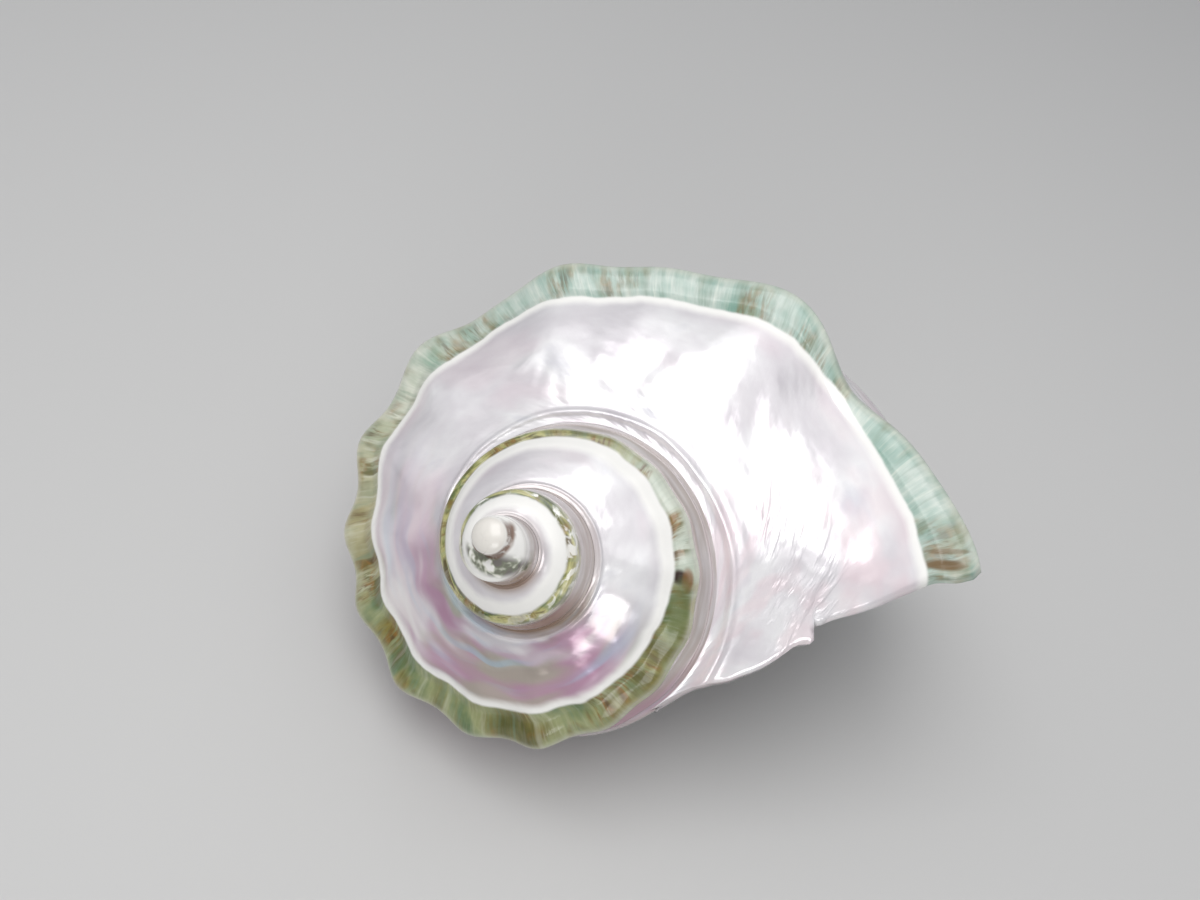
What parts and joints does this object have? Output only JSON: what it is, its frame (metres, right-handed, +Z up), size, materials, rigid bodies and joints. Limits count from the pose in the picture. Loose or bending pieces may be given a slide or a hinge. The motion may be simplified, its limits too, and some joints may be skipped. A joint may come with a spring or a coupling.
{
  "type": "turban shell",
  "caption": "Large polished sea snail shell with a knobbed shoulder and a wide open mouth, lying mouth down with its spire up.",
  "frame": {"origin": "on the table, at the middle of the shell's box", "axes": "+Z up, +X towards the lip's shoulder corner, -Y towards the side that the spire is seen from; the shell lies as it rests, with its spire leaning back and to the left"},
  "size_m": [0.1612, 0.1258, 0.0994],
  "materials": {
    "shell": "ground and polished mother-of-pearl with a green band left on the shoulder keel"
  },
  "bodies": {
    "root": {"shell": "shell"}
  },
  "joints": []
}
